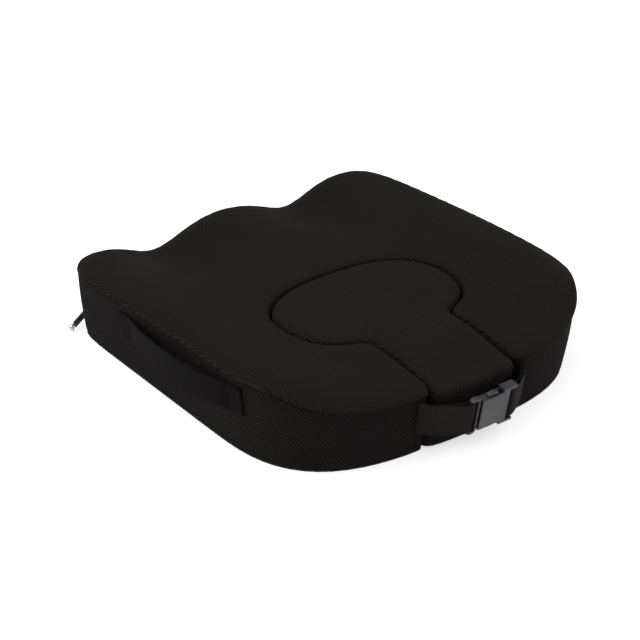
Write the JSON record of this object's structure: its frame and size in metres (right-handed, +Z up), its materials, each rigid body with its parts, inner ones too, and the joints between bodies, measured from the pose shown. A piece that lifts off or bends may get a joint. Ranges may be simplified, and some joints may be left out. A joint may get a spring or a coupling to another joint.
{
  "type": "seat cushion",
  "caption": "Contoured black seat cushion with a keyhole cut-out and lift-out insert, a side carrying handle, a zipped cover and a side-release buckle strap at the rear.",
  "frame": {"origin": "on the floor plane under the middle of the footprint, handle and buckle included", "axes": "+Z up; +Y towards the front edge under the thighs, so the insert's opening and the buckle are on -Y; +X to the sitter's right when seated facing +Y; the handle is on -X"},
  "size_m": [0.4507, 0.4869, 0.1019],
  "materials": {
    "knit": "fine ribbed knit",
    "mesh": "coarse air mesh",
    "base": "dotted grip cloth",
    "foam": "moulded foam",
    "webbing": "flat weave",
    "buckle": "satin moulded",
    "zip": "woven tape and nylon coil",
    "pull": "soft moulded",
    "steel": "plated"
  },
  "bodies": {
    "cushion": {"main_foam": "foam", "cover_top_panel": "knit", "cover_side_boxing": "mesh", "cover_cutout_lining": "mesh", "cover_base_panel": "base", "handle_front_end": "webbing", "handle_rear_end": "webbing", "strap_left": "webbing", "strap_right": "webbing", "buckle_plug": "buckle", "buckle_socket": "buckle", "zip_tape_upper": "zip", "zip_tape_lower": "zip", "zip_coil_upper": "zip", "zip_coil_lower": "zip", "zip_end_stop": "steel"},
    "insert": {"insert_foam": "foam", "insert_top_panel": "knit", "insert_boxing": "mesh", "insert_base_panel": "base"},
    "handle": {"handle_grip": "webbing"},
    "prong_upper": {"buckle_prong_upper": "buckle"},
    "prong_lower": {"buckle_prong_lower": "buckle"},
    "zip_carriage": {"zip_slider": "steel"},
    "zip_pull": {"zip_ring": "steel", "zip_pull_grip": "pull", "zip_pull_tip": "steel"}
  },
  "joints": [
    {"name": "insert_lift", "type": "slide", "parent": "cushion", "child": "insert", "axis": [0, 0, 1], "range_m": [0, 0.12]},
    {"name": "handle_lift", "type": "slide", "parent": "cushion", "child": "handle", "axis": [-1, 0, 0], "range_m": [0, 0.018], "stiffness_N_per_m": 60},
    {"name": "prong_squeeze", "type": "hinge", "parent": "cushion", "child": "prong_upper", "pos_m": [-0.00872, -0.23787, 0.05531], "axis": [0, 0.9848, 0.1736], "range_deg": [0, 17], "stiffness_Nm_per_rad": 0.15},
    {"name": "prong_squeeze_lower", "type": "hinge", "parent": "cushion", "child": "prong_lower", "pos_m": [-0.00872, -0.23353, 0.03069], "axis": [0, -0.9848, -0.1736], "range_deg": [0, 17], "stiffness_Nm_per_rad": 0.15},
    {"name": "zip_run", "type": "slide", "parent": "cushion", "child": "zip_carriage", "axis": [1, 0, 0], "range_m": [0, 0.3355]},
    {"name": "zip_pull_swing", "type": "hinge", "parent": "zip_carriage", "child": "zip_pull", "pos_m": [-0.17437, 0.2372, 0.01319], "axis": [0, 0.1117, 0.9937], "range_deg": [-136, 0]}
  ],
  "couplings": [
    {"joint": "prong_squeeze_lower", "follows": "prong_squeeze", "ratio": 1},
    {"joint": "zip_pull_swing", "follows": "zip_run", "rad_per_m": -6.971}
  ]
}
